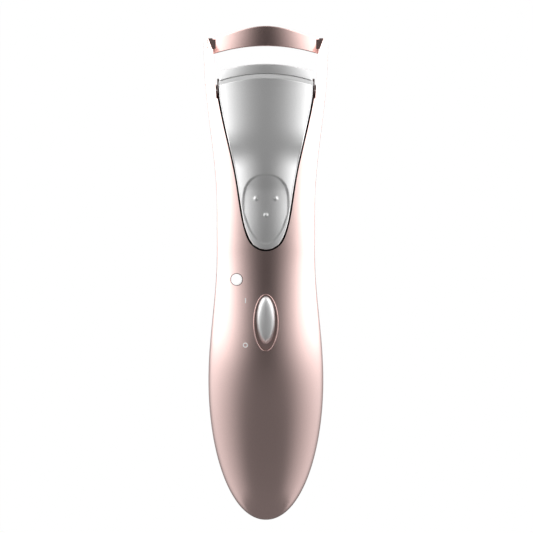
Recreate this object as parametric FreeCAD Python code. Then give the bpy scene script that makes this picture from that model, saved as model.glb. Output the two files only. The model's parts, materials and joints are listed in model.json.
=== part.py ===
import FreeCAD, Part
import math
import os

# Heated eyelash curler. Millimetres. x is the width, -y is the front, +z is up.
# Heights are measured from the tip of the handle; export() moves the origin to the grip.

os.makedirs("parts", exist_ok=True)
V = FreeCAD.Vector

# ---- driving dimensions ----
handleLength = 79.4         # tip of the handle to the free end of the press lever
leverReach = 47.7           # free end of the lever to its hinge
gripHeight = 41.0           # height of the widest place of the handle
originHeight = 42.0         # grip centre, the model's origin
headRise = 10.9             # hinge to where the head reaches its full width
gripHalf, gripFront, gripBack = 16.9, 12.0, 13.5
waistHalf, waistFront, waistBack = 14.4, 8.6, 8.6
headHalf, headFront, headBack = 18.2, 9.2, 6.0
tipBluntness = 2.1          # exponent of the rounded lower end, 2 is an ellipse
wall = 1.8                  # housing wall
armThickness = 2.4          # width of a fork arm at its top
armRise = 14.5              # hinge to the top of the arms
armCorner = 1.6             # radius of the arms' outer top corners
coverTop = 64.0             # top edge of the battery cover

pressAngle = 8.0            # full press of the lever, degrees
leverProud = 2.0            # how far the free end of the lever stands out at rest
hingeDepth = -3.0           # y of the hinge axis
leverTopHalf, leverTipHalf = 14.0, 7.2
plateThickness = 2.4        # lever cover
frameThickness = 1.2        # moulding under it
dishDepth = 1.3             # thumb dish

jawRadius = 28.0            # plan radius of the jaw's front face
jawFront = -9.4             # y of the jaw's front face at the centre
jawLow, jawHigh = 3.9, 6.75         # lower and upper edge of the jaw above the hinge
jawArch = 1.95              # drop of the jaw's edges at its ends
padDepth = 3.0              # front to back size of the pad
bandThickness = 0.8         # metal band in front of the pad
heaterThickness = 0.6
lashGap = 5.25              # open gap between pad and bar
closedGap = 0.25            # what is left of it at full press
barThickness = 1.4
barHeight = 5.9             # at the centre
barDrop = 3.5               # drop of the bar's top edge at its ends

pinRadius = 0.8
earRadius = 2.55
stemHalf, stemThickness, stemBack = 5.0, 2.4, 0.6
followerRadius = 1.5
followerDrop = 28.1         # hinge to the stem's round foot
floorFront, floorThickness = 1.4, 1.3      # recess floor behind the lever

cellRadius, cellLength = 5.25, 44.5         # AAA cell
cellDepth, cellLow = 3.2, 16.6
boardFront, boardThickness = -5.0, 1.0
switchHeight, switchTravel = 58.0, 1.9
recessHalf, recessHeight = 3.65, 8.4
knobHalf, knobHeight = 2.775, 6.9
lampX, lampHeight, lampRadius = -8.6, 70.7, 1.7

# ---- clearances ----
slideGap = 0.3              # between pieces that move past each other
fitGap = 0.05               # between pieces that sit in one another
edgeGap = 0.45              # round the press lever
pinGap = 0.04               # hinge pin in its ear
partingGap = 0.1            # either side of the parting lines

# ---- heights that follow ----
hingeHeight = handleLength + leverReach
armTop = hingeHeight + armRise
cavityTop = hingeHeight - 4.6
rearWallTop = hingeHeight - 0.8
waistLow, waistHigh = handleLength - 0.4, handleLength + 11.6
headFull = hingeHeight + headRise
jawHalf = leverTopHalf - 0.55
padTop = hingeHeight + jawHigh
barLow = padTop + lashGap
jawTravel = lashGap - closedGap
pinFront = hingeDepth - pinRadius - 0.4
jawCentre = jawFront + jawRadius
archRadius = (jawHalf ** 2 + jawArch ** 2) / (2 * jawArch)
barHalf = headHalf - armThickness - 0.1
barGap = 0.1
bayWallFront, bayWallBack = cellDepth - cellRadius - 1.35, cellDepth - cellRadius - 0.25


def swell(z, grip, waist, head):
    """One half-size of the housing at height z: round tip, belly, waist and head."""
    if z < gripHeight:
        return grip * (1 - (1 - z / gripHeight) ** 2) ** (1 / tipBluntness)
    if z < waistLow:
        fall = (1 + math.cos(math.pi * (z - gripHeight) / (waistLow - gripHeight))) / 2
        return waist + (grip - waist) * fall
    if z < waistHigh:
        return waist
    rise = (1 - math.cos(math.pi * min(1, (z - waistHigh) / (headFull - waistHigh)))) / 2
    return waist + (head - waist) * rise


def halfEllipse(half, depth, centre, z):
    """Half an ellipse from +half to -half, bulging by depth along y."""
    w = math.sqrt(0.5)
    corners = [(half, 0), (half, depth), (0, depth), (-half, depth), (-half, 0)]
    curve = Part.BSplineCurve()
    curve.buildFromPolesMultsKnots([V(x, centre + y, z) for x, y in corners],
                                   [3, 2, 3], [0, 0.5, 1], False, 2, [1, w, 1, w, 1])
    return curve.toShape()


def loftHousing(heights, inset=0.0, lean=lambda z: 0.0, tip=()):
    """Loft through the housing's sections at some heights, drawn in by inset, leaning forward."""
    sections = list(tip)
    for z in heights:
        level = inset + z * (gripHeight - inset) / gripHeight if z < gripHeight else z
        half = swell(z, gripHalf - inset, waistHalf - inset, headHalf - inset)
        front = swell(z, gripFront - inset, waistFront - inset, headFront - inset)
        back = swell(z, gripBack - inset, waistBack - inset, headBack - inset)
        sections.append(Part.Wire([halfEllipse(half, -front, -lean(z), level),
                                   halfEllipse(half, back, -lean(z), level).reversed()]))
    return Part.makeLoft(sections, True, False)


def housingSolid(inset=0.0, top=armTop):
    """The whole housing's outer shape up to a height, with its rounded lower end."""
    steps = 9
    heights = [gripHeight * (1 - math.cos(math.pi / 2 * k / steps)) for k in range(1, steps)]
    rows = math.ceil((top - gripHeight) / 6.0)
    heights += [gripHeight + (top - gripHeight) * k / rows for k in range(rows + 1)]
    return loftHousing(heights, inset, tip=[Part.Vertex(0, 0, inset)])


def leverSolid(inset):
    """The housing's shape along the lever, leaning out towards the lever's free end."""
    low, rows = handleLength - 3, 11
    heights = [low + (armTop - low) * k / rows for k in range(rows + 1)]
    return loftHousing(heights, inset, leverLean)


def box(x0, x1, y0, y1, z0, z1):
    return Part.makeBox(x1 - x0, y1 - y0, z1 - z0, V(x0, y0, z0))


def rod(radius, x, z, y0, y1):
    """Cylinder along y."""
    return Part.makeCylinder(radius, y1 - y0, V(x, y0, z), V(0, 1, 0))


def across(radius, y, z, x0, x1):
    """Cylinder along x."""
    return Part.makeCylinder(radius, x1 - x0, V(x0, y, z), V(1, 0, 0))


def prism(edges, y0, y1):
    """Solid with a front outline, from depth y0 to y1."""
    face = Part.Face(Part.Wire(edges))
    face.translate(V(0, y0, 0))
    return face.extrude(V(0, y1 - y0, 0))


def polygon(points):
    spots = [V(x, 0, z) for x, z in points]
    return [Part.LineSegment(a, b).toShape() for a, b in zip(spots, spots[1:] + spots[:1])]


def mirrored(shape):
    return shape.mirror(V(0, 0, 0), V(1, 0, 0))


def pair(shape):
    return Part.makeCompound([shape, mirrored(shape)])


def ellipsoid(centre, rx, ry, rz):
    matrix = FreeCAD.Matrix()
    matrix.scale(V(rx, ry, rz))
    ball = Part.makeSphere(1.0).transformGeometry(matrix)
    ball.translate(centre)
    return ball


def ovalFace(half, height, z):
    """Ellipse in the front plane, taller than wide."""
    ring = Part.Ellipse(V(0, 0, z + height), V(half, 0, z), V(0, 0, z))
    return ring.toShape()


def leverEdges(grow=0.0):
    """Front outline of the press lever: egg-shaped end, sides widening to the hinge."""
    shape = [(leverTipHalf * 0.5, 0.031, 0.6), (leverTipHalf * 0.82, 0.122, 0.3), (leverTipHalf, 0.243, 0)]
    for w, h in [(0.2, 0.432), (0.59, 0.683), (0.963, 0.931)]:
        shape.append((leverTipHalf + (leverTopHalf - leverTipHalf) * w, h, 0))
    right = [V(x + grow, 0, handleLength + leverReach * h - drop * grow) for x, h, drop in shape]
    left = [V(-spot.x, 0, spot.z) for spot in right]
    curve = Part.BSplineCurve()
    curve.interpolate(right[::-1] + [V(0, 0, handleLength - grow)] + left)
    apex = hingeHeight + jawLow - slideGap
    ends = [V(sign * (leverTopHalf + grow), 0, apex - jawArch) for sign in (1, -1)]
    return [curve.toShape(), Part.LineSegment(left[-1], ends[1]).toShape(),
            Part.Arc(ends[1], V(0, 0, apex), ends[0]).toShape(),
            Part.LineSegment(ends[0], right[-1]).toShape()]


def leverLean(z):
    return leverProud * max(0, hingeHeight - z) / leverReach


def archedStrip(half, low, high, rInner, rOuter):
    """Part of an upright ring round the jaw's centre, between two arched edges."""
    drop = archRadius - math.sqrt(archRadius ** 2 - half ** 2)
    ring = Part.makeCylinder(rOuter, 60, V(0, jawCentre, armTop - 50))
    ring = ring.cut(Part.makeCylinder(rInner, 60, V(0, jawCentre, armTop - 50)))
    edges = [Part.Arc(V(-half, 0, low - drop), V(0, 0, low), V(half, 0, low - drop)).toShape(),
             Part.LineSegment(V(half, 0, low - drop), V(half, 0, high - drop)).toShape(),
             Part.Arc(V(half, 0, high - drop), V(0, 0, high), V(-half, 0, high - drop)).toShape(),
             Part.LineSegment(V(-half, 0, high - drop), V(-half, 0, low - drop)).toShape()]
    return ring.common(prism(edges, jawFront - 2, jawCentre - 8))


def wire(points, radius):
    """Insulated lead along straight runs with round corners."""
    solid = None
    for a, b in zip(points, points[1:]):
        run = Part.makeCylinder(radius, (b - a).Length, a, b - a)
        solid = run if solid is None else solid.fuse(run)
    for corner in points[1:-1]:
        solid = solid.fuse(Part.makeSphere(radius, corner))
    return solid.removeSplitter()


def spring(radius, wireRadius, pitch, height, base, axis=V(0, 0, 1)):
    """Round-wire compression spring standing on base."""
    helix = Part.makeHelix(pitch, height - 2 * wireRadius, radius)
    section = Part.Wire(Part.Circle(V(radius, 0, 0), V(0, 1, 0), wireRadius).toShape())
    coil = Part.Wire(helix).makePipeShell([section], True, True)
    coil.translate(base + V(0, 0, wireRadius))
    return coil


def screw(x, z, headY, tipY, headRadius, shankRadius):
    """Screw along y with its head at headY, driven towards tipY, with a cross slot."""
    headDepth = 1.0
    solid = rod(headRadius, x, z, headY - headDepth, headY)
    solid = solid.fuse(rod(shankRadius, x, z, tipY, headY - headDepth))
    arm = headRadius * 0.6
    for dx, dz in ((arm, 0.2), (0.2, arm)):
        solid = solid.cut(box(x - dx, x + dx, headY - 0.5, headY + 1, z - dz, z + dz))
    return solid


def export(shape, name):
    shape = shape.copy()
    shape.translate(V(0, 0, -originHeight))
    shape.exportStep("parts/" + name + ".step")


# ---- housing shapes that several pieces share ----
outer = housingSolid()
shoulder = headHalf - armCorner
crown = [Part.LineSegment(V(-30, 0, -5), V(30, 0, -5)).toShape(),
         Part.LineSegment(V(30, 0, -5), V(30, 0, armTop - armCorner)).toShape(),
         Part.LineSegment(V(30, 0, armTop - armCorner), V(headHalf, 0, armTop - armCorner)).toShape(),
         Part.Arc(V(headHalf, 0, armTop - armCorner),
                  V(shoulder + armCorner * math.sqrt(0.5), 0,
                    armTop - armCorner * (1 - math.sqrt(0.5))),
                  V(shoulder, 0, armTop)).toShape(),
         Part.LineSegment(V(shoulder, 0, armTop), V(-shoulder, 0, armTop)).toShape(),
         Part.Arc(V(-shoulder, 0, armTop),
                  V(-shoulder - armCorner * math.sqrt(0.5), 0,
                    armTop - armCorner * (1 - math.sqrt(0.5))),
                  V(-headHalf, 0, armTop - armCorner)).toShape(),
         Part.LineSegment(V(-headHalf, 0, armTop - armCorner), V(-30, 0, armTop - armCorner)).toShape(),
         Part.LineSegment(V(-30, 0, armTop - armCorner), V(-30, 0, -5)).toShape()]
outer = outer.common(prism(crown, -40, 40))
cavity = housingSolid(wall, cavityTop)
inside = housingSolid(wall + 0.15, cavityTop - 0.15)
frontSpace = box(-40, 40, -40, 0, -5, 200)
leverOpening = prism(leverEdges(edgeGap), -30, 0)
forkLow = hingeHeight - 3.3
forkInner = leverTopHalf + 0.55
forkOutline = polygon([(-forkInner, forkLow), (forkInner, forkLow), (headHalf - armThickness, armTop + 1),
                       (armThickness - headHalf, armTop + 1)])
forkSlot = prism(forkOutline, -30, 30)
stemSlot = box(-stemHalf - slideGap, stemHalf + slideGap, -20, stemBack + 0.2 + slideGap,
               cavityTop - 3, armTop)


def armInner(z):
    """Half-width between the fork arms at height z."""
    return forkInner + (headHalf - armThickness - forkInner) * (z - forkLow) / (armTop + 1 - forkLow)


shellScrewSpots = [(0.0, handleLength - 4.2), (8.0, hingeHeight - 16), (-8.0, hingeHeight - 16)]
screwShank, screwHead = 0.9, 1.7
barScrewHeight = barLow + 0.4
barLugDepth = jawCentre - math.sqrt((jawRadius - bandThickness - padDepth / 2) ** 2 - barHalf ** 2)


def frontShell():
    shell = outer.cut(cavity).common(frontSpace)
    x, z = shellScrewSpots[0]
    boss = rod(2.0, x, z, -waistFront, bayWallFront - fitGap).common(outer)
    pocketFloor = -swell(switchHeight, gripFront, waistFront, headFront) + 1.2
    pad = box(-recessHalf - 1.2, recessHalf + 1.2, -20, pocketFloor + 1.2,
              switchHeight - recessHeight - 1.2, switchHeight + recessHeight + 1.2).common(outer)
    shell = shell.fuse([boss, pad])
    shell = shell.cut([leverOpening, forkSlot])
    bezelSeat = prism([ovalFace(recessHalf + 0.35, recessHeight + 0.35, switchHeight)], -20, 0)
    bezelSeat = bezelSeat.cut(housingSolid(0.7, cavityTop))
    recess = prism([ovalFace(recessHalf, recessHeight, switchHeight)], -20, pocketFloor)
    slot = box(-1.6, 1.6, -20, 0, switchHeight - 4.6, switchHeight + 4.2)
    lamp = rod(lampRadius + fitGap, lampX, lampHeight, -20, 0)
    screwHole = rod(screwShank, x, z, -waistFront + wall, 0)
    facet = prism(polygon([(headHalf - armThickness - 1, armTop + 1), (headHalf - 0.8, armTop + 1),
                           (headHalf - armThickness, armTop - 3.3),
                           (headHalf - armThickness - 1, armTop - 3.3)]), -20, barLugDepth - 0.4)
    shell = shell.cut([bezelSeat, recess, slot, lamp, screwHole, facet, mirrored(facet)])
    for cutter in (hingeHole(), barPocket()):
        shell = shell.cut([cutter, mirrored(cutter)])
    return shell


def hingeHole():
    return across(pinRadius, hingeDepth, hingeHeight, forkInner - 1, headHalf - 2.0)


def barPocket():
    """Socket in an arm for the bar's lug, and the screw's way in from behind."""
    half = 0.75 + fitGap
    pocket = box(headHalf - armThickness - 1, headHalf - 1.0 + fitGap, barLugDepth - half,
                 barLugDepth + half, barScrewHeight - 1.2 - fitGap, barScrewHeight + 1.6 + fitGap)
    x = headHalf - 1.75
    return pocket.fuse(rod(0.4, x, barScrewHeight, barLugDepth, 20))


def rearShell():
    shell = outer.cut(cavity)
    shell = shell.common(box(-40, 40, 0, 40, coverTop + partingGap, 200))
    bosses = []
    for x, z in shellScrewSpots:
        seat = bayWallBack if x == 0 else floorFront + floorThickness + 0.6
        bosses.append(rod(2.2, x, z, seat + fitGap, 20).common(outer))
    shell = shell.fuse(bosses)
    slot = forkSlot.common(box(-40, 40, -40, 40, rearWallTop, 200))
    shell = shell.cut([slot, stemSlot])
    for x, z in shellScrewSpots:
        shell = shell.cut([rod(screwShank + 0.1, x, z, -5, 20), rod(screwHead + 0.1, x, z, headSeat(x, z), 20)])
    pocket = barPocket()
    return shell.cut([pocket, mirrored(pocket)])


def headSeat(x, z):
    """Depth of the seat of a rear screw's head, below the back surface."""
    half = swell(z, gripHalf, waistHalf, headHalf)
    depth = swell(z, gripBack, waistBack, headBack)
    return depth * math.sqrt(1 - (x / half) ** 2) - 2.0


railInner, railLip, railTop = 8.0, 10.8, 3.4
railLow, railHigh = 22.0, 58.0


def batteryCover():
    shell = outer.cut(cavity).common(box(-40, 40, partingGap, 40, -5, coverTop - partingGap))
    web = box(railLip + slideGap, railLip + slideGap + 1.1, 0.4, 20, railLow, railHigh)
    lip = box(railInner + 1.6 + slideGap, railLip + slideGap + 0.2, 0.4, railTop - 1.2 - slideGap,
              railLow, railHigh)
    hook = web.common(outer).cut(shell).fuse(lip)
    shell = shell.fuse([hook, mirrored(hook)])
    restFlat = box(-20, 20, gripBack - 0.4, 30, -5, 100)
    ridges = [box(-6.5, 6.5, swell(z, gripBack, waistBack, headBack) - 0.5, 30, z - 0.5, z + 0.5)
              for z in (coverTop - 5 - 2.2 * k for k in range(5))]
    return shell.cut([restFlat] + ridges)


def innerChassis():
    """Black inner frame: battery bay, recess tub behind the lever, deck, stem rails."""
    tubOuter = prism(leverEdges(edgeGap + 1.3), -30, floorFront + floorThickness)
    tubInner = prism(leverEdges(edgeGap + 0.3), -30, floorFront)
    tub = tubOuter.cut(tubInner).common(inside)
    bay = box(-30, 30, bayWallFront, bayWallBack, cellLow - 5, handleLength - 0.9)
    cellTop = cellLow + cellLength
    ends = [box(-7, 7, bayWallFront, cellDepth + 3.4, z0, z0 + 1.2) for z0 in (cellLow - 4.2, cellTop + 1.0)]
    lower = bay.fuse(ends).common(inside)
    rail = box(railInner, railInner + 1.6, bayWallFront, railTop, railLow - 2, railHigh + 2)
    rail = rail.fuse(box(railInner, railLip, railTop - 1.2, railTop, railLow - 2, railHigh + 2))
    guideHigh = hingeHeight - 5.5
    side, lipBack = stemHalf + slideGap, stemBack - stemThickness - slideGap
    guide = box(side, side + 1.2, stemBack - stemThickness / 2, floorFront + 0.1, hingeHeight - 24, guideHigh)
    guide = guide.fuse(box(side, side + 1.2, lipBack - 0.9, floorFront + 0.1, guideHigh - 6, guideHigh))
    guideLip = box(stemHalf - 0.9, side + 1.2, lipBack - 0.9, lipBack, guideHigh - 6, guideHigh)
    lug = box(-1.9, 1.9, stemBack - stemThickness, floorFront + 0.1, springTop, springTop + 1.4)
    deck = box(-30, 30, stemBack - stemThickness + 0.4, 30, hingeHeight - 6.0, hingeHeight - 4.8)
    deck = deck.common(inside).common(prism(leverEdges(edgeGap + 0.6), -30, 30))
    deck = deck.cut(stemSlot)
    standoffs = [rod(1.6, x, z, boardFront + boardThickness + fitGap, bayWallFront + 0.1)
                 for x, z in boardScrewSpots]
    bosses = [rod(1.8, x, z, floorFront + 0.5, floorFront + floorThickness + 0.6)
              for x, z in shellScrewSpots[1:]]
    chassis = tub.fuse([lower, rail, mirrored(rail), guide, mirrored(guide), guideLip,
                        mirrored(guideLip), lug, deck] + standoffs + bosses)
    holes = [rod(screwShank, x, z, -2.8 if x else -20, 20) for x, z in shellScrewSpots]
    holes += [rod(0.6, x, z, -20, 20) for x, z in boardScrewSpots]
    camWindow = box(-2.6, 2.6, -1, floorFront + floorThickness + 1, hingeHeight - followerDrop - 6.5,
                    hingeHeight - followerDrop + 2.0)
    return chassis.cut(holes + [camWindow])


springTop = hingeHeight - 10.2
springLow = hingeHeight - 21.5
boardLow, boardHigh, boardHalf = 44.0, handleLength - 6.4, 9.6
boardScrewSpots = [(6.6, boardLow + 2.6), (-6.6, boardLow + 2.6), (6.2, boardHigh - 2.8)]


def upperBar():
    """Curved clamp bar with a lug at each end."""
    rOuter = jawRadius - bandThickness - padDepth / 2 + barThickness / 2
    top = barLow + barHeight
    low = barLow - 2.1
    lowHalf, half = armInner(low) - barGap, armInner(top - barDrop) - barGap
    crest = [(half, top - barDrop), (0.72 * half, top - 0.74 * barDrop), (0.46 * half, top - 0.31 * barDrop),
             (0.0, top)]
    spots = [V(x, 0, z) for x, z in crest] + [V(-x, 0, z) for x, z in crest[-2::-1]]
    crestCurve = Part.BSplineCurve()
    crestCurve.interpolate(spots, InitialTangent=V(-1, 0, 0), FinalTangent=V(-1, 0, 0))
    edges = [Part.Arc(V(-lowHalf, 0, low), V(0, 0, barLow), V(lowHalf, 0, low)).toShape(),
             Part.LineSegment(V(lowHalf, 0, low), V(half, 0, top - barDrop)).toShape(),
             crestCurve.toShape(),
             Part.LineSegment(V(-half, 0, top - barDrop), V(-lowHalf, 0, low)).toShape()]
    ring = Part.makeCylinder(rOuter, 40, V(0, jawCentre, barLow - 20))
    ring = ring.cut(Part.makeCylinder(rOuter - barThickness, 40, V(0, jawCentre, barLow - 20)))
    bar = ring.common(prism(edges, jawFront - 2, jawCentre - 8))
    lug = box(half - 0.8, headHalf - 1.0, barLugDepth - 0.75, barLugDepth + 0.75, barScrewHeight - 1.2,
              barScrewHeight + 1.6)
    bar = bar.fuse([lug, mirrored(lug)])
    hole = rod(0.4, headHalf - 1.75, barScrewHeight, barLugDepth - 0.3, 20)
    return bar.cut([hole, mirrored(hole)])


def barScrews():
    x = headHalf - 1.75
    depth = headBack * math.sqrt(1 - (x / headHalf) ** 2)
    return pair(rod(0.4 - 0.01, x, barScrewHeight, barLugDepth - 0.25, depth - 0.4))


def leverBlank(inset, depth, shrink, space):
    """A layer of the press lever between two insets, inside a box and the outline less shrink."""
    layer = leverSolid(inset).common(space).cut(leverSolid(inset + depth).common(space))
    layer = layer.common(prism(leverEdges(-shrink), -30, 0))
    reach = math.hypot(waistFront - wall + hingeDepth, leverReach + edgeGap) - 0.15
    return layer.common(across(reach, hingeDepth, hingeHeight, -30, 30))


def dishShape():
    centre = handleLength + 11.3
    return ellipsoid(V(0, -waistFront - leverLean(centre) - 1.1, centre), 7.0, dishDepth + 1.1, 10.2)


def leverCover():
    plate = leverBlank(0.0, plateThickness, 0.0, box(-30, 30, -30, pinFront, 0, 200))
    apex = hingeHeight + jawLow - slideGap
    bevelCut = archedStrip(leverTopHalf + 1, apex + 0.9, apex + 6, 10, 40)
    bevelCut.rotate(V(0, -headFront, apex), V(1, 0, 0), 38)
    plate = plate.cut(bevelCut).cut(dishShape())
    centre = handleLength + 11.3
    floor = -waistFront - leverLean(centre) - 1.1
    for x, z in ((-2.9, handleLength + 15), (2.9, handleLength + 15), (0, handleLength + 10.2)):
        y = floor + (dishDepth + 1.1) * math.sqrt(1 - (x / 7.0) ** 2 - ((z - centre) / 10.2) ** 2)
        plate = plate.fuse(Part.makeSphere(0.8, V(x, y + 0.35, z)).common(box(-9, 9, -30, y + 0.5, 0, 200)))
    return plate


def leverFrame():
    inset = plateThickness + fitGap
    frame = leverBlank(inset, frameThickness, 0.7, box(-30, 30, -30, -0.5, 0, hingeHeight - 0.6))
    earInner = jawHalf + slideGap
    earOuter = forkInner - 0.25
    ear = across(earRadius, hingeDepth, hingeHeight, earInner, earOuter)
    strap = box(earInner - 2.2, earOuter, hingeDepth - 2.0, hingeDepth + 0.6, hingeHeight - 3.4,
                hingeHeight - 0.9)
    strap = strap.fuse(box(earInner - 2.2, earInner + 0.2, hingeDepth - 3.2, hingeDepth - 1.6,
                           hingeHeight - 3.4, hingeHeight - 0.9))
    strap = strap.common(leverSolid(inset))
    ear = ear.common(housingSolid(0.4, armTop)).cut(box(0, leverTopHalf + fitGap, -30, pinFront + fitGap, 0, 200))
    hinge = ear.fuse(strap)
    frame = frame.fuse([hinge, mirrored(hinge), camRib()]).cut(box(-30, 30, hingeDepth + 1, 9, 0, forkLow))
    hole = across(pinRadius + pinGap, hingeDepth, hingeHeight, 0, 40)
    return frame.cut([hole, mirrored(hole)])


def followerSpot(angle):
    """Centre of the stem's round foot, seen from the lever, after a press of angle."""
    lift = jawTravel * angle / math.radians(pressAngle)
    y = stemBack - stemThickness / 2 - hingeDepth
    z = -followerDrop + lift
    return V(0, hingeDepth + y * math.cos(angle) + z * math.sin(angle),
             hingeHeight - y * math.sin(angle) + z * math.cos(angle))


def camRib():
    """Ramp on the lever's back; its face is the foot's path set off by the foot's radius."""
    full = math.radians(pressAngle)
    step = full / 100
    face = []
    for angle in (-0.05 * full, 0.5 * full, 1.08 * full):
        along = (followerSpot(angle + step) - followerSpot(angle - step)).normalize()
        away = V(0, -along.z, along.y)
        face.append(followerSpot(angle) + away * (followerRadius + 0.2))
    front = -waistFront - 4
    corner = V(0, face[0].y - 1.2, face[0].z - 1.2)
    edges = [Part.Arc(face[0], face[1], face[2]).toShape(),
             Part.LineSegment(face[2], V(0, front, face[2].z)).toShape(),
             Part.LineSegment(V(0, front, face[2].z), V(0, front, corner.z)).toShape(),
             Part.LineSegment(V(0, front, corner.z), corner).toShape(),
             Part.LineSegment(corner, face[0]).toShape()]
    rib = Part.Face(Part.Wire(edges))
    rib.translate(V(-1.9, 0, 0))
    rib = rib.extrude(V(3.8, 0, 0))
    return rib.common(leverSolid(plateThickness + fitGap))


def hingePins():
    return pair(across(pinRadius - 0.005, hingeDepth, hingeHeight, jawHalf + slideGap + 0.05,
                       headHalf - 2.1))


def jawCarriage():
    """Slide with the curved pad holder on top and the stem that the ramp lifts."""
    inner = jawRadius - bandThickness - padDepth
    low = hingeHeight + jawLow
    holder = archedStrip(jawHalf, low, low + 0.9, inner, jawRadius - bandThickness - fitGap)
    rib = archedStrip(jawHalf, low - 2.2, low + 0.1, inner - 1.6, jawRadius - bandThickness - 2.2)
    stem = box(-stemHalf, stemHalf, stemBack - stemThickness, stemBack,
               hingeHeight - followerDrop, low - 1.2)
    bridge = box(-stemHalf, stemHalf, jawFront + bandThickness + 2.6, stemBack, low - 2.2, low - 0.8)
    foot = across(followerRadius, stemBack - stemThickness / 2, hingeHeight - followerDrop, -1.9, 1.9)
    carriage = stem.fuse([holder, rib, bridge, foot])
    window = box(-2.2, 2.2, -20, 20, springLow, springTop + 1.4 + slideGap)
    taper = [prism(polygon([(s * 1.9, hingeHeight - followerDrop - 3), (s * 9, hingeHeight - followerDrop - 3),
                            (s * 9, springLow - 1), (s * stemHalf, springLow - 1)]), -20, 20)
             for s in (1, -1)]
    return carriage.cut([window] + taper)


def jawCover():
    low = hingeHeight + jawLow
    return archedStrip(jawHalf, low, padTop - 0.35, jawRadius - bandThickness, jawRadius)


def heaterPlate():
    low = hingeHeight + jawLow + 0.9 + fitGap
    return archedStrip(jawHalf - 0.6, low, low + heaterThickness,
                       jawRadius - bandThickness - padDepth + 0.3, jawRadius - bandThickness - 0.3)


def siliconePad():
    low = hingeHeight + jawLow + 0.9 + heaterThickness + 2 * fitGap
    return archedStrip(jawHalf, low, padTop, jawRadius - bandThickness - padDepth,
                       jawRadius - bandThickness - fitGap)


def thermalFuse():
    back = jawCentre - (jawRadius - bandThickness - padDepth)
    low = hingeHeight + jawLow + 0.1 + fitGap
    return box(-1.3, 1.3, back + 0.05, back + 1.25, low, low + 2)


def contactStrips():
    """Copper tracks down the back of the stem."""
    return pair(box(3.2, 4.4, stemBack + 0.01, stemBack + 0.16, springLow, hingeHeight + jawLow - 2.4))


def wiperContacts():
    """Leaf contacts that press on the copper tracks."""
    low = hingeHeight - 24
    return pair(box(3.3, 4.3, stemBack + 0.2, floorFront - 0.02, low, low + 4))


def returnSpring():
    return spring(1.2, 0.25, 1.9, springTop - springLow - 0.1,
                  V(0, stemBack - stemThickness / 2, springLow + 0.05))


def circuitBoard():
    board = box(-boardHalf, boardHalf, boardFront, boardFront + boardThickness, boardLow, boardHigh)
    board = board.common(housingSolid(wall + 0.4, cavityTop))
    return board.cut([rod(0.7, x, z, -20, 0) for x, z in boardScrewSpots])


def boardScrews():
    group = []
    for x, z in boardScrewSpots:
        head = rod(1.2, x, z, boardFront - 0.8, boardFront)
        group.append(head.fuse(rod(0.6 - 0.01, x, z, boardFront, bayWallBack - 0.1)))
    return Part.makeCompound(group)


def slideSwitch():
    front = boardFront - 2.4
    body = box(-4.3, 4.3, front, boardFront, switchHeight - 5, switchHeight + 5.6)
    return body.cut(box(-1.5, 1.5, front - 1, front + 1.6, switchHeight - 1.7 - switchTravel - 0.4,
                        switchHeight + 0.8 + 1.7 + 0.4))


def pocketFloor():
    return -swell(switchHeight, gripFront, waistFront, headFront) + 1.2


def switchKnob():
    """Oval crowned slider, resting at the upper end of its travel."""
    centre = switchHeight + 0.8
    base = pocketFloor() - slideGap
    dome = ellipsoid(V(0, base, centre), knobHalf, 2.1, knobHeight)
    dome = dome.common(box(-9, 9, -30, base, 0, 200))
    stem = box(-1.2, 1.2, base - 0.2, boardFront - 1.6, centre - 1.7, centre + 1.7)
    return dome.fuse(stem)


def switchBezel():
    ring = prism([ovalFace(recessHalf + 0.35 - fitGap, recessHeight + 0.35 - fitGap, switchHeight)], -20, 0)
    ring = ring.cut(prism([ovalFace(recessHalf - 0.1, recessHeight - 0.1, switchHeight)], -20, 0))
    return ring.common(housingSolid(-0.12, cavityTop)).cut(housingSolid(0.7 - fitGap, cavityTop))


def lampLens():
    lens = rod(lampRadius, lampX, lampHeight, -20, boardFront - 0.75)
    return lens.common(housingSolid(-0.06, cavityTop))


def led():
    return box(lampX - 0.9, lampX + 0.9, boardFront - 0.65, boardFront, lampHeight - 0.6, lampHeight + 0.6)


def shellScrews():
    group = []
    for x, z in shellScrewSpots:
        seat = headSeat(x, z)
        tip = -waistFront + wall + 0.6 if x == 0 else floorFront + 0.3
        group.append(screw(x, z, seat + 1.0, tip, screwHead, screwShank - 0.01))
    return Part.makeCompound(group)


def aaaCell():
    body = Part.makeCylinder(cellRadius, cellLength - 0.9, V(0, cellDepth, cellLow))
    return body.fuse(Part.makeCylinder(1.9, cellLength, V(0, cellDepth, cellLow)))


def contactSpring():
    return spring(2.6, 0.3, 0.85, 2.75, V(0, cellDepth, cellLow - 2.9))


def contactPlate():
    top = cellLow + cellLength
    return box(-3.5, 3.5, cellDepth - 3.5, cellDepth + 3.0, top + 0.4, top + 0.95)


def batteryLeads():
    """Leads from the two cell contacts to the board, in front of the bay wall."""
    y = bayWallFront - 0.5
    ends = [(7.4, cellLow - 1.5, boardLow - 0.6), (-7.4, cellLow - 1.5, boardLow - 0.6)]
    return Part.makeCompound([wire([V(x, y, low), V(x, y, high - 3), V(x * 0.5, y, high)], 0.4)
                              for x, low, high in ends])


def wiperLeads():
    """Leads from the leaf contacts down behind the recess floor to the board."""
    y = floorFront + floorThickness + 0.6
    low, high = handleLength - 8, hingeHeight - 23
    return pair(wire([V(4.0, y, high), V(4.0, y, low + 4), V(7.0, y, low)], 0.4))


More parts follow.
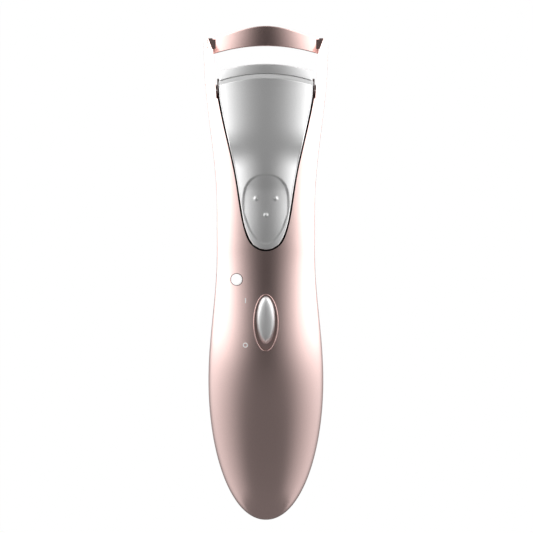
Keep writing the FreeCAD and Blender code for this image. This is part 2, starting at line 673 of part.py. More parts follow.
pieces = {
    "front_shell": frontShell, "rear_shell": rearShell, "battery_cover": batteryCover,
    "inner_chassis": innerChassis, "upper_bar": upperBar, "bar_screws": barScrews,
    "lever_cover": leverCover, "lever_frame": leverFrame, "hinge_pins": hingePins,
    "jaw_carriage": jawCarriage, "jaw_cover": jawCover, "heater_plate": heaterPlate,
    "silicone_pad": siliconePad, "thermal_fuse": thermalFuse, "contact_strips": contactStrips,
    "wiper_contacts": wiperContacts, "return_spring": returnSpring,
    "circuit_board": circuitBoard, "board_screws": boardScrews, "slide_switch": slideSwitch,
    "switch_knob": switchKnob, "switch_bezel": switchBezel, "lamp_lens": lampLens, "led": led,
    "shell_screws": shellScrews, "aaa_cell": aaaCell, "contact_spring": contactSpring,
    "contact_plate": contactPlate, "battery_leads": batteryLeads, "wiper_leads": wiperLeads,
}

for name, make in pieces.items():
    shape = make()
    solids = shape.Solids
    print(name, "solids", len(solids), "volume", round(sum(s.Volume for s in solids), 2),
          "valid", shape.isValid())
    export(solids[0] if len(solids) == 1 else Part.makeCompound(solids), name)
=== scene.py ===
import json
import math
import bmesh
import bpy
import numpy as np
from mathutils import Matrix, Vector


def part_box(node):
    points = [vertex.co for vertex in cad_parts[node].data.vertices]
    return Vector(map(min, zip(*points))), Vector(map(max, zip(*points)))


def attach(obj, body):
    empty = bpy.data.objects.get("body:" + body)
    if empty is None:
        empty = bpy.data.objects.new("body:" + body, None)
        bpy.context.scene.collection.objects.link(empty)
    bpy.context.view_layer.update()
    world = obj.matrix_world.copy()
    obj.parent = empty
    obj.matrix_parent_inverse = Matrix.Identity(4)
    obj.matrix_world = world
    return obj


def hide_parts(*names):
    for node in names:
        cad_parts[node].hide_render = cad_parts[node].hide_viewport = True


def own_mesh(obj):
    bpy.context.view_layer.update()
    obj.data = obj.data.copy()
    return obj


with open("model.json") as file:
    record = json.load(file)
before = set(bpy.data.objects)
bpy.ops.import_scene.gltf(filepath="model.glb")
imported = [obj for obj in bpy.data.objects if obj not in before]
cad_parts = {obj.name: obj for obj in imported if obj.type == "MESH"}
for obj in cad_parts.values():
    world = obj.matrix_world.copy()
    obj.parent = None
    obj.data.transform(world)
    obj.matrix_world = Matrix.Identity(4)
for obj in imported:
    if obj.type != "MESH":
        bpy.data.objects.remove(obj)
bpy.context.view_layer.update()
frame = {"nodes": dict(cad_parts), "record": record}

mm = 0.001

# Heights in the dictionaries are metres above the grip centre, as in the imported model.
housing = {
    "tip": -42 * mm, "grip": -1 * mm, "waistLow": 37 * mm, "waistHigh": 49 * mm, "headFull": 96 * mm,
    "half": (16.9 * mm, 14.4 * mm, 18.2 * mm),   # grip, waist, head
    "front": (12.0 * mm, 8.6 * mm, 9.2 * mm),
    "back": (13.5 * mm, 8.6 * mm, 6.0 * mm),
    "bluntness": 2.1,
    "merge": 0.001 * mm, "crease": 25,           # weld distance, and the degrees from which an edge stays sharp
    "skin": 0.12 * mm, "skinTurn": 22,           # an outer face is this near to the surface, within these degrees
}


def swell(z, sizes):
    # half an ellipse at the lower end, then cosine blends from grip to waist and from waist to head
    grip, waist, head = sizes
    h = housing
    up = np.clip((z - h["tip"]) / (h["grip"] - h["tip"]), 0, 1)
    tip = grip * np.maximum(1 - (1 - up) ** 2, 1e-9) ** (1 / h["bluntness"])
    fall = (1 + np.cos(math.pi * np.clip((z - h["grip"]) / (h["waistLow"] - h["grip"]), 0, 1))) / 2
    rise = (1 - np.cos(math.pi * np.clip((z - h["waistHigh"]) / (h["headFull"] - h["waistHigh"]), 0, 1))) / 2
    body = waist + (grip - waist) * fall + (head - waist) * rise
    return np.where(z < h["grip"], tip, body)


def frontOf(x, z):
    # depth of the housing's front surface: y = -depth * sqrt(1 - (x / half)^2)
    share = np.clip(x / swell(z, housing["half"]), -1, 1)
    return -swell(z, housing["front"]) * np.sqrt(1 - share ** 2)


def housingNormals(points):
    # gradient of (x/half)^2 + (y/depth)^2, by central differences along z
    x, y, z = points.T
    depths = lambda h: np.where(y < 0, swell(h, housing["front"]), swell(h, housing["back"]))
    half, depth, step = swell(z, housing["half"]), depths(z), 0.05 * mm
    level = lambda h: (x / swell(h, housing["half"])) ** 2 + (y / depths(h)) ** 2
    normal = np.stack([2 * x / half ** 2, 2 * y / depth ** 2, (level(z + step) - level(z - step)) / (2 * step)], 1)
    return normal / np.linalg.norm(normal, axis=1, keepdims=True), (np.sqrt(level(z)) - 1) * half


class Wire:
    # a node socket that can be used in Python expressions
    def __init__(self, look, socket):
        self.look, self.socket = look, socket

    def maths(self, operation, *values):
        # one maths node with two inputs
        return self.look.add("ShaderNodeMath", {"operation": operation}, dict(enumerate(values)))

    def __add__(self, other):
        return self.maths("ADD", self, other)

    def __sub__(self, other):
        return self.maths("SUBTRACT", self, other)

    def __rsub__(self, other):
        return self.maths("SUBTRACT", other, self)

    def __mul__(self, other):
        return self.maths("MULTIPLY", self, other)

    __radd__ = __add__
    __rmul__ = __mul__


class Look:
    # one material: a Principled shader and the nodes that feed it
    def __init__(self, name, colour, **fixed):
        self.material = bpy.data.materials.new(name)
        self.material.use_nodes = True
        self.tree = self.material.node_tree
        self.shader = self.tree.nodes["Principled BSDF"]
        self.shader.inputs["Base Color"].default_value = (*colour, 1)
        for socket, value in fixed.items():
            self.shader.inputs[socket.replace("_", " ")].default_value = value
        self.place = self.add("ShaderNodeTexCoord", {}, {}, "Object")

    def add(self, kind, settings, sockets, output=0):
        # any node: its settings, what its sockets take, and the output that is passed on
        node = self.tree.nodes.new(kind)
        for name, value in settings.items():
            if name == "stops":
                ramp = node.color_ramp
                for stop, (spot, grey) in zip((ramp.elements[0], ramp.elements[1]), value):
                    stop.position, stop.color = spot, (grey, grey, grey, 1)
            else:
                setattr(node, name, value)
        for name, value in sockets.items():
            if isinstance(value, Wire):
                self.tree.links.new(value.socket, node.inputs[name])
            else:
                node.inputs[name].default_value = value
        return Wire(self, node.outputs[output])

    def feed(self, **wires):
        # plugs wires into the shader's own sockets
        for name, wire in wires.items():
            self.tree.links.new(wire.socket, self.shader.inputs[name.replace("_", " ")])

    def noise(self, scale, detail=3.0, stretch=(1, 1, 1)):
        # noise on the piece's own coordinates
        spot = self.add("ShaderNodeMapping", {}, {"Vector": self.place, "Scale": stretch})
        return self.add("ShaderNodeTexNoise", {}, {"Vector": spot, "Scale": scale, "Detail": detail})

    def ramp(self, wire, low, high):
        # black up to low, white from high
        return self.add("ShaderNodeValToRGB", {"stops": ((low, 0), (high, 1))}, {"Fac": wire})

    def blend(self, factor, first, second):
        # from the first colour to the second
        sockets = {"Factor": factor, 6: (*first, 1), 7: (*second, 1)}
        return self.add("ShaderNodeMix", {"data_type": "RGBA"}, sockets, 2)

    def bump(self, height, depth, **more):
        # small relief, seen in the shading only
        return self.add("ShaderNodeBump", {}, {"Height": height, "Distance": depth, **more})


def tinted(colour, share):
    # the same hue, each channel times share
    return tuple(c * share for c in colour)


metalFinish = {"rose": (0.93, 0.69, 0.655), "roseDeep": (0.84, 0.60, 0.565), "silver": (0.83, 0.83, 0.83),
               "flakeScale": 5200, "flakeDepth": 0.0025 * mm, "peelScale": 260, "peelDepth": 0.004 * mm,
               "smudgeScale": 45}


def satinMetal(name, colour, rough, metallic=1.0, flakes=1.0):
    # metallic lacquer: fine flakes, a slow orange peel, faint smudges in the gloss
    look = Look(name, colour, Metallic=metallic)
    flake, peel = look.noise(metalFinish["flakeScale"], 1), look.noise(metalFinish["peelScale"])
    smudge = look.noise(metalFinish["smudgeScale"], 5)
    height = flake * flakes + peel * (metalFinish["peelDepth"] / metalFinish["flakeDepth"])
    look.feed(Base_Color=look.blend(look.ramp(flake, 0.25, 0.8), tinted(colour, 0.95), tinted(colour, 1.03)),
              Roughness=look.ramp(smudge, 0.3, 0.75) * 0.05 + (rough - 0.02),
              Normal=look.bump(height, metalFinish["flakeDepth"], Strength=0.6))
    return look.material


def moulded(name, colour, rough=0.45, grain=1400, depth=0.012 * mm):
    # spark-eroded moulded plastic with a fine grain and slight shade changes
    look = Look(name, colour)
    fine, broad = look.noise(grain, 4), look.noise(60, 4)
    look.feed(Base_Color=look.blend(broad, tinted(colour, 0.85), tinted(colour, 1.2)),
              Roughness=fine * 0.12 + (rough - 0.06), Normal=look.bump(fine, depth, Strength=0.5))
    return look.material


def plated(name, colour, rough=0.25):
    # drawn or turned bare metal: fine lines along its length and dull patches
    look = Look(name, colour, Metallic=1.0)
    lines, patches = look.noise(900, 3, (1, 1, 0.06)), look.noise(300, 4)
    look.feed(Base_Color=look.blend(patches, tinted(colour, 0.8), tinted(colour, 1.05)),
              Roughness=patches * 0.2 + (rough - 0.1), Normal=look.bump(lines, 0.004 * mm, Strength=0.4))
    return look.material


def cellSleeve():
    # printed cell sleeve: dark body with a light band at one end
    look = Look("cellSleeve", (0.1, 0.11, 0.13), Metallic=0.6, Roughness=0.3)
    height = look.add("ShaderNodeSeparateXYZ", {}, {"Vector": look.place}, "Z")
    band = look.add("ShaderNodeMath", {"operation": "GREATER_THAN"}, {0: height, 1: 6 * mm})
    wear = look.noise(500, 5)
    look.feed(Base_Color=look.blend(band, (0.06, 0.07, 0.09), (0.62, 0.5, 0.3)), Roughness=wear * 0.15 + 0.22)
    return look.material


def boardMask():
    # green solder mask over copper tracks
    look = Look("boardMask", (0.02, 0.2, 0.07), Roughness=0.35)
    tracks = look.add("ShaderNodeTexBrick", {}, {"Vector": look.place, "Scale": 420.0, "Mortar Size": 0.03}, "Fac")
    look.feed(Base_Color=look.blend(tracks, (0.015, 0.16, 0.05), (0.04, 0.3, 0.11)),
              Normal=look.bump(tracks, 0.03 * mm))
    return look.material


def milkyLens():
    # clouded plastic that glows a little
    look = Look("milkyLens", (0.95, 0.95, 0.93), Roughness=0.25, Emission_Color=(1, 1, 1, 1), Emission_Strength=0.45)
    haze = look.noise(700, 4)
    look.feed(Base_Color=look.blend(haze, (0.9, 0.9, 0.88), (1, 1, 1)), Roughness=haze * 0.1 + 0.2)
    return look.material


def siliconeSkin():
    # soft grey rubber with a fine grain and some dust
    look = Look("siliconeSkin", (0.62, 0.62, 0.63), Roughness=0.5)
    dust, grain = look.noise(180, 5), look.noise(1800, 3)
    look.feed(Base_Color=look.blend(dust, (0.52, 0.52, 0.53), (0.7, 0.7, 0.71)), Roughness=grain * 0.15 + 0.42,
              Normal=look.bump(grain, 0.01 * mm, Strength=0.4))
    return look.material


looks = {
    "rose_gold": satinMetal("roseGoldSatin", metalFinish["rose"], 0.30),
    "rose_gold_metal": satinMetal("roseGoldBar", metalFinish["roseDeep"], 0.26, flakes=0.3),
    "silver_plate": satinMetal("silverSatin", metalFinish["silver"], 0.36, metallic=0.58, flakes=0.6),
    "black_plastic": moulded("blackMoulding", (0.012, 0.012, 0.013)),
    "brown_plastic": moulded("brownMoulding", (0.13, 0.075, 0.068), 0.4),
    "heat_plastic": moulded("heatMoulding", (0.03, 0.028, 0.028), 0.5, 900),
    "ceramic": moulded("ceramicWhite", (0.78, 0.77, 0.72), 0.3, 500, 0.004 * mm),
    "silicone": siliconeSkin(),
    "copper": plated("copperTrack", (0.85, 0.45, 0.28)),
    "steel": plated("nickelSteel", (0.62, 0.61, 0.6)),
    "board": boardMask(),
    "lens": milkyLens(),
    "cell": cellSleeve(),
    "lead": moulded("leadJacket", (0.42, 0.02, 0.015), 0.4, 700),
}
slotOf = {entry["node"]: entry["material_slot"] for entry in frame["record"]["subparts"]}
bodyOf = {node: body for body, nodes in frame["record"]["behaviour"]["bodies"].items() for node in nodes}
print("materials ready")


def newPiece(name, mesh, finish, body, sharp=32):
    # puts a mesh in the scene on its body; sharp is in degrees, and 0 leaves the shading as it is
    mesh.materials.clear()
    mesh.materials.append(finish)
    piece = bpy.data.objects.new(name, mesh)
    bpy.context.scene.collection.objects.link(piece)
    if sharp:
        mesh.shade_smooth()
        mesh.set_sharp_from_angle(angle=math.radians(sharp))
    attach(piece, body)
    return piece


def addPiece(name, mesh, node, sharp=32, finish=None):
    # the same for a piece that stands in for a packed one
    piece = newPiece(name, mesh, finish or looks[slotOf[node]], bodyOf[node], sharp)
    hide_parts(node)
    return piece


def gridFaces(rows, columns, wrap=False):
    # quads of a grid whose points run row by row
    r, c = np.meshgrid(np.arange(rows - 1), np.arange(columns if wrap else columns - 1), indexing="ij")
    a, b = r * columns + c, r * columns + (c + 1) % columns
    return np.stack([a, b, b + columns, a + columns], -1).reshape(-1, 4).tolist()


def endCaps(rows, columns):
    # the first and the last row of a wrapped grid, each closed with one face
    return [list(range(columns)), list(range((rows - 1) * columns, rows * columns))]


def closedMesh(name, points, faces):
    # seams and poles are merged, then every face is turned outwards
    mesh = bpy.data.meshes.new(name)
    mesh.from_pydata(points.reshape(-1, 3).tolist(), [], faces)
    work = bmesh.new()
    work.from_mesh(mesh)
    bmesh.ops.remove_doubles(work, verts=work.verts, dist=0.002 * mm)
    bmesh.ops.recalc_face_normals(work, faces=work.faces)
    work.to_mesh(mesh)
    work.free()
    return mesh


def boxMesh(low, high):
    # eight corners and six quads of an upright box
    corners = np.array([[x, y, z] for x in (low[0], high[0]) for y in (low[1], high[1]) for z in (low[2], high[2])])
    return corners, [[0, 1, 3, 2], [4, 6, 7, 5], [0, 4, 5, 1], [2, 3, 7, 6], [0, 2, 6, 4], [1, 5, 7, 3]]


def housingShell(name, node):
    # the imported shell, merged, with the exact surface direction given to its outer faces
    mesh = frame["nodes"][node].data.copy()
    work = bmesh.new()
    work.from_mesh(mesh)
    bmesh.ops.remove_doubles(work, verts=work.verts, dist=housing["merge"])
    work.to_mesh(mesh)
    work.free()
    mesh.shade_smooth()
    mesh.set_sharp_from_angle(angle=math.radians(housing["crease"]))
    spots = np.empty(len(mesh.vertices) * 3)
    mesh.vertices.foreach_get("co", spots)
    exact, offset = housingNormals(spots.reshape(-1, 3))
    corners = np.empty(len(mesh.loops), int)
    mesh.loops.foreach_get("vertex_index", corners)
    normals = np.empty(len(mesh.loops) * 3)
    mesh.corner_normals.foreach_get("vector", normals)
    normals = normals.reshape(-1, 3)
    flat = np.empty(len(mesh.polygons) * 3)
    mesh.polygons.foreach_get("normal", flat)
    sides = np.empty(len(mesh.polygons), int)
    mesh.polygons.foreach_get("loop_total", sides)
    faceOf = np.repeat(np.arange(len(sides)), sides)
    aligned = np.einsum("ij,ij->i", flat.reshape(-1, 3)[faceOf], exact[corners])
    agrees = aligned > math.cos(math.radians(housing["skinTurn"]))
    near = (np.abs(offset[corners]) < housing["skin"]) & agrees
    whole = np.bincount(faceOf, weights=near) == sides
    outer = whole[faceOf]
    normals[outer] = exact[corners][outer]
    mesh.normals_split_custom_set(normals.tolist())
    return addPiece(name, mesh, node, sharp=0)


for name, node in (("frontShell", "front_shell"), ("rearShell", "rear_shell"), ("batteryCover", "battery_cover")):
    housingShell(name, node)
print("housing done")


jaw = {"radius": 28 * mm, "centre": 18.6 * mm, "half": 13.45 * mm, "low": 89.0 * mm, "high": 91.85 * mm,
       "arch": 1.95 * mm, "band": 0.8 * mm, "bandEdge": 0.18 * mm, "bandBelow": 0.1 * mm,
       "pad": 3.0 * mm, "padEdge": 0.3 * mm, "padRise": 1.6 * mm, "padOverlap": 0.05 * mm}
jaw["archRadius"] = (jaw["half"] ** 2 + jaw["arch"] ** 2) / (2 * jaw["arch"])
bar = {"radius": 26.4 * mm, "thickness": 1.4 * mm, "low": 97.1 * mm, "height": 5.9 * mm, "drop": 3.15 * mm,
       "crestHalf": 17.6 * mm, "lowDrop": 2.1 * mm, "lowHalf": 15.3 * mm, "topHalf": 15.62 * mm, "edge": 0.28 * mm,
       "lugIn": 1 * mm, "lugDepth": (-3.3 * mm, -1.8 * mm), "lugHeight": (96.4 * mm, 99.2 * mm)}


def curvedStrip(low, high, half, inner, outer, edge, stations=90):
    # an upright ring cut to the front outline: depth = centre - sqrt(r^2 - x^2), with rounded edges all round
    turn = np.linspace(0, math.pi / 2, 5)
    inset = np.concatenate([edge * (1 - np.sin(turn)), np.zeros(stations), edge * (1 - np.sin(turn[::-1]))])
    reach = half - edge
    x = np.concatenate([-reach - edge * np.cos(turn), np.linspace(-reach, reach, stations),
                        reach + edge * np.cos(turn[::-1])])
    swing = np.concatenate([turn + k * math.pi / 2 for k in range(4)])
    outward = np.repeat([1, 0, 0, 1], 5)
    upward = np.repeat([1, 1, 0, 0], 5)
    grow = (edge - inset)[:, None]
    radius = np.where(outward, outer - edge, inner + edge) + grow * np.cos(swing)
    height = np.where(upward, high(x)[:, None] - edge, low(x)[:, None] + edge) + grow * np.sin(swing)
    wide = np.broadcast_to(x[:, None], radius.shape)
    points = np.stack([wide, jaw["centre"] - np.sqrt(radius ** 2 - wide ** 2), height], -1)
    rows, columns = radius.shape
    return points, gridFaces(rows, columns, wrap=True) + endCaps(rows, columns)


def jawArch(x):
    # how far the jaw's edge falls off the middle: r - sqrt(r^2 - x^2)
    return jaw["archRadius"] - np.sqrt(jaw["archRadius"] ** 2 - x ** 2)


def jawStrip(name, node, low, high, inner, outer, edge):
    # a curved strip whose two long edges follow the jaw's arch
    points, faces = curvedStrip(lambda x: low - jawArch(x), lambda x: high - jawArch(x), jaw["half"], inner, outer,
                                edge)
    addPiece(name, closedMesh(name, points, faces), node)


bandBack = jaw["radius"] - jaw["band"]
jawStrip("jawBand", "jaw_cover", jaw["low"], jaw["high"] - jaw["bandBelow"], bandBack, jaw["radius"], jaw["bandEdge"])
jawStrip("siliconePad", "silicone_pad", jaw["low"] + jaw["padRise"], jaw["high"], bandBack - jaw["pad"],
         bandBack - jaw["padOverlap"], jaw["padEdge"])


def barCrest(x):
    # top edge: a raised cosine from the middle to the arms
    return bar["low"] + bar["height"] - bar["drop"] * (1 - np.cos(math.pi * x / bar["crestHalf"])) / 2


def upperBar():
    # the strip's lower edge is a parabola, low - drop * (x / half)^2, and a lug at each end reaches into the arm
    lower = lambda x: bar["low"] - bar["lowDrop"] * (x / bar["lowHalf"]) ** 2
    points, faces = curvedStrip(lower, barCrest, bar["topHalf"], bar["radius"] - bar["thickness"], bar["radius"],
                                bar["edge"], 120)
    points = points.reshape(-1, 3)
    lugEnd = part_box("upper_bar")[1][0]
    front, back = bar["lugDepth"]
    low, high = bar["lugHeight"]
    for side in (-1, 1):
        left, right = sorted((side * (bar["topHalf"] - bar["lugIn"]), side * lugEnd))
        lug, quads = boxMesh((left, front, low), (right, back, high))
        faces += (np.array(quads) + len(points)).tolist()
        points = np.concatenate([points, lug])
    addPiece("upperBar", closedMesh("upperBar", points, faces), "upper_bar")


spring = {"wire": 0.25 * mm, "turns": 6.5, "fixedEnd": 74.9 * mm, "travel": 5 * mm, "stations": 480, "sides": 10,
          "share": (0, 0.08, 0.92, 1), "climb": (0, 0.04, 0.96, 1)}   # the end turns climb less than the middle


def returnSpring():
    # coil: a ring of wire carried along a helix, angle = 2 pi turns t and height = climb(t)
    low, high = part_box("return_spring")
    centre, half = (low + high) / 2, (high - low) / 2
    wire, stations, sides = spring["wire"], spring["stations"], spring["sides"]
    along = np.linspace(0, 1, stations)[:, None]
    ring = np.linspace(0, 2 * math.pi, sides, endpoint=False)
    turn = 2 * math.pi * spring["turns"] * along
    reach = half[0] - wire + wire * np.cos(ring)
    climb = np.interp(along, spring["share"], spring["climb"]) * (2 * (half[2] - wire))
    points = np.stack([centre[0] + reach * np.cos(turn), centre[1] + reach * np.sin(turn),
                       low[2] + wire + climb + wire * np.sin(ring)], -1)
    faces = gridFaces(stations, sides, wrap=True) + endCaps(stations, sides)
    piece = addPiece("returnSpring", closedMesh("returnSpring", points, faces), "return_spring", sharp=60)
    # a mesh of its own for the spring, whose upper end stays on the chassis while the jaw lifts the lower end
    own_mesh(piece)


upperBar()
returnSpring()
print("jaw, bar and spring done")


lever = {"tip": 37.4 * mm, "hinge": 85.1 * mm, "apex": 88.7 * mm, "archDrop": 1.95 * mm, "proud": 2.0 * mm,
         "tipHalf": 7.2 * mm, "topHalf": 14.0 * mm, "thickness": 2.4 * mm, "edge": 0.35 * mm, "wall": 0.5 * mm,
         "lip": 1.1 * mm, "lipRise": 0.22 * mm, "lipDepth": 1.3 * mm, "lipCorner": 0.2 * mm, "lipInset": 0.1 * mm,
         "backLimit": -4.2 * mm, "rows": 280, "columns": 120,
         "dishCentre": 51.5 * mm, "dishHalf": 6.65 * mm, "dishUp": 7.7 * mm, "dishDown": 12.2 * mm,
         "dishSink": 0.15 * mm, "dishScoop": 0.5 * mm, "ledge": 0.25 * mm,
         "eggBlunt": 2.4, "eggBluntBelow": 1.8, "scoopFrom": -9 * mm, "scoopFull": 3.4 * mm, "scoopFade": 3 * mm,
         "grooveDepth": 0.12 * mm, "grooveHalf": 0.16 * mm, "shrink": 0.12 * mm,
         # roundness across, as a share of the housing's: base, extra at the tip end, and a flatter stretch
         "round": 1.15, "tipExtra": 0.55, "tipFade": (0.5, 0.66), "flatter": 0.5, "flatAt": 0.665, "flatReach": 0.08,
         "domes": ((-2.9 * mm, 52.4 * mm), (2.9 * mm, 52.4 * mm), (0, 47.6 * mm)), "domeRadius": 0.9 * mm,
         "domeHeight": 0.3 * mm,
         "lipSteps": ((0.02, 0.03), (0.08, 0.06), (0.4, 0.07), (1.4, 0.07))}


def smoothStep(value, low, high):
    # 3 t^2 - 2 t^3, from 0 at low to 1 at high
    share = np.clip((value - low) / (high - low), 0, 1)
    return share * share * (3 - 2 * share)


def leverHalf(share):
    # outline half-width against the share of the lever's length: an egg end running into widening sides
    knots = np.array([0.0, 0.006, 0.031, 0.07, 0.122, 0.175, 0.243, 0.34, 0.432, 0.56, 0.683, 0.81, 0.931, 1.03])
    widths = np.array([0.0, 0.25, 0.53, 0.70, 0.83, 0.925, 1.0, 1.10, 1.20, 1.375, 1.56, 1.75, 1.91, 1.945])
    return np.interp(share, knots, widths) * lever["tipHalf"]


def leverFront(x, z):
    # front surface: follows the housing, stands out towards the free end, flatter across at two thirds height,
    # with the egg-shaped thumb dish stepped in and three small domes on its floor
    length = lever["hinge"] - lever["tip"]
    share = (z - lever["tip"]) / length
    lean = lever["proud"] * np.clip(1 - share, 0, None)
    half = swell(z, housing["half"])
    centre = swell(z, housing["front"])
    curve = lever["round"] + lever["tipExtra"] * (1 - smoothStep(share, *lever["tipFade"]))
    curve = curve - lever["flatter"] * np.exp(-((share - lever["flatAt"]) / lever["flatReach"]) ** 2)
    across = centre * (1 - np.sqrt(1 - np.clip(x / half, -0.98, 0.98) ** 2)) * curve
    up = z - lever["dishCentre"]
    blunt = np.where(up > 0, lever["eggBlunt"], lever["eggBluntBelow"])
    reach = np.where(up > 0, lever["dishUp"], lever["dishDown"])
    egg = (np.abs(x / lever["dishHalf"]) ** blunt + np.abs(up / reach) ** blunt) ** (1 / blunt)
    inside = 1 - smoothStep((egg - 1) * lever["dishHalf"], -lever["ledge"], 0)
    scoop = smoothStep(up, lever["scoopFrom"], lever["scoopFull"]) - smoothStep(up, lever["scoopFade"], lever["dishUp"])
    floor = lever["dishSink"] + lever["dishScoop"] * scoop
    groove = lever["grooveDepth"] * np.exp(-((egg - 1) * lever["dishHalf"] / lever["grooveHalf"]) ** 2)
    dish = floor * inside + groove
    away = lambda a, b: np.clip(np.hypot(x - a, z - b) / lever["domeRadius"], 0, 1)
    domes = sum(lever["domeHeight"] * (1 + np.cos(math.pi * away(a, b))) / 2 for a, b in lever["domes"])
    return -centre - lean + across + dish - domes


def leverCover():
    # the front surface on a grid of (across, share of the length), with rounded sides and a rolled top edge
    length = lever["hinge"] - lever["tip"]
    rows, columns, edge, limit = lever["rows"], lever["columns"], lever["edge"], lever["backLimit"]
    topShare = (lever["apex"] - lever["lip"] - lever["archDrop"] - lever["tip"]) / length
    share = topShare * np.linspace(0, 1, rows) ** 1.5
    rim = leverHalf(share)
    soft = np.convolve(np.pad(rim, 6, mode="edge"), np.ones(13) / 13, "valid")
    rim = np.where((share > 0.05) & (share < topShare - 0.02), soft, rim)
    rim = np.maximum(rim - lever["shrink"], 0)
    rim[0] = 0
    zRim = lever["tip"] + share * length
    # the arch lifts the top rows in the middle
    lift = lever["archDrop"] * smoothStep(share, 0.55, topShare)
    tangent = np.stack([np.gradient(rim), np.gradient(zRim)], 1)
    tangent /= np.linalg.norm(tangent, axis=1, keepdims=True)
    outX, outZ = tangent[:, 1], -tangent[:, 0]
    outX[0], outZ[0] = 0, -1
    across = np.linspace(-1, 1, columns)
    faceHalf, faceZ = np.maximum(rim - edge * outX, 0), zRim - edge * outZ
    x = faceHalf[:, None] * across
    z = faceZ[:, None] + lift[:, None] * (1 - across ** 2)
    y = leverFront(x, z)
    # rounded rim and a straight skirt, as extra columns at both sides
    turn = np.linspace(0, math.pi / 2, 6)[1:]
    shift = np.concatenate([np.sin(turn) * edge, [edge, edge]])
    fall = np.concatenate([(1 - np.cos(turn)) * edge, [lever["thickness"] * 0.5, lever["thickness"]]])
    sides = []
    for sign in (-1, 1):
        edgeX = sign * (faceHalf[:, None] + shift * outX[:, None])
        edgeZ = faceZ[:, None] + shift * outZ[:, None]
        column = y[:, 0 if sign < 0 else -1]
        edgeY = np.minimum(column[:, None] + fall, np.maximum(limit, column[:, None] + edge))
        sides.append(np.stack([edgeX, edgeY, edgeZ], -1))
    grid = np.concatenate([sides[0][:, ::-1], np.stack([x, y, z], -1), sides[1]], 1)
    # above the face the plate turns over and runs back
    steps = np.array(lever["lipSteps"]) * lever["lip"]
    rolled = grid[-1] + np.insert(steps, 0, 0, axis=1)[:, None]
    rolled[..., 1] = np.minimum(rolled[..., 1], limit)
    grid = np.concatenate([grid, rolled], 0)
    mesh = closedMesh("leverCover", grid, gridFaces(*grid.shape[:2]))
    piece = addPiece("leverCover", mesh, "lever_cover", sharp=40)
    wall = piece.modifiers.new("wall", "SOLIDIFY")
    wall.thickness, wall.offset = lever["wall"], -1


def leverLip():
    # pale strip along the plate's top: a section with two rounded front corners, carried along the arch
    stations, corner = 121, lever["lipCorner"]
    deep, tall = lever["lipDepth"], lever["lip"] + lever["lipRise"]
    x = np.linspace(-1, 1, stations)[:, None] * (lever["topHalf"] - lever["lipInset"])
    turn = np.linspace(0, math.pi / 2, 5)
    # upper front corner, then the back's two corners, then the lower front corner
    sectionY = np.concatenate([corner - corner * np.cos(turn), [deep, deep], corner - corner * np.cos(turn[::-1])])
    sectionZ = np.concatenate([tall - corner + corner * np.sin(turn), [tall, 0],
                               corner - corner * np.sin(turn[::-1])])
    foot = lever["apex"] + lever["lipRise"] - jawArch(x) - tall
    face = leverFront(x, foot)
    points = np.stack([x + 0 * sectionY, np.minimum(face, lever["backLimit"]) + sectionY, foot + sectionZ], -1)
    faces = gridFaces(stations, len(sectionY), wrap=True) + endCaps(stations, len(sectionY))
    pale = moulded("paleLip", (0.80, 0.80, 0.80), 0.5, 1600, 0.004 * mm)
    newPiece("leverLip", closedMesh("leverLip", points, faces), pale, "press_lever", sharp=40)


leverCover()
leverLip()
print("lever done")


switch = {"height": 16.0 * mm, "recessHalf": 3.65 * mm, "recessHeight": 8.4 * mm,
          "rim": 0.16 * mm, "beadIn": 0.28 * mm, "beadRise": 0.9, "flange": 0.34 * mm, "flangeDepth": 0.3 * mm,
          "floor": -9.42 * mm, "floorWall": 0.03 * mm, "shelf": 0.5,   # shelf: how far in the well's floor reaches
          "knobHalf": 2.775 * mm, "knobHeight": 6.9 * mm, "knobRise": 2.1 * mm, "knobCentre": 16.8 * mm,
          "knobSkirt": 0.25 * mm, "stemHalf": 1.2 * mm, "stemHeight": 1.7 * mm, "satin": (0.92, 0.92, 0.92)}


def switchBezel():
    # a flush flange, a raised bead, the well's wall and floor: a closed section carried round the oval recess
    stations = 193
    around = np.linspace(0, 2 * math.pi, stations)[:, None]
    bead = np.linspace(0, math.pi, 9)
    rim, flange = switch["rim"], switch["flange"]
    middle = rim - switch["beadIn"]
    out = np.concatenate([[flange, flange, 0.1 * mm], middle + rim * np.cos(bead),
                          [middle - rim - 0.02 * mm, 0, 0, 0, 0]])
    deep = np.concatenate([[switch["flangeDepth"], 0, 0], -switch["beadRise"] * rim * np.sin(bead),
                           [0, 0, 0, 0, switch["flangeDepth"]]])
    onFloor = np.zeros(len(out), bool)
    onFloor[-5:-1] = True
    shrink = np.ones(len(out))
    shrink[-4:-2] = switch["shelf"]
    x = (switch["recessHalf"] + out) * np.cos(around) * shrink
    z = switch["height"] + (switch["recessHeight"] + out) * np.sin(around) * shrink
    floor = switch["floor"] + np.where(np.arange(len(out)) >= len(out) - 3, switch["floorWall"], 0)
    y = np.where(onFloor, floor, np.minimum(frontOf(x, z) + deep, floor))
    points = np.stack([x, y, z], -1)
    mesh = closedMesh("switchBezel", points, gridFaces(stations, len(out), wrap=True))
    addPiece("switchBezel", mesh, "switch_bezel", sharp=40)
    # the flange and the wall wear the housing's finish, only the bead is bare metal
    mesh.materials.append(looks["rose_gold"])
    spots = np.empty(len(mesh.polygons) * 3)
    mesh.polygons.foreach_get("center", spots)
    x, y, z = spots.reshape(-1, 3).T
    raised = frontOf(x, z) - y > 0.01 * mm
    mesh.polygons.foreach_set("material_index", np.where(raised, 0, 1).astype(np.int32))


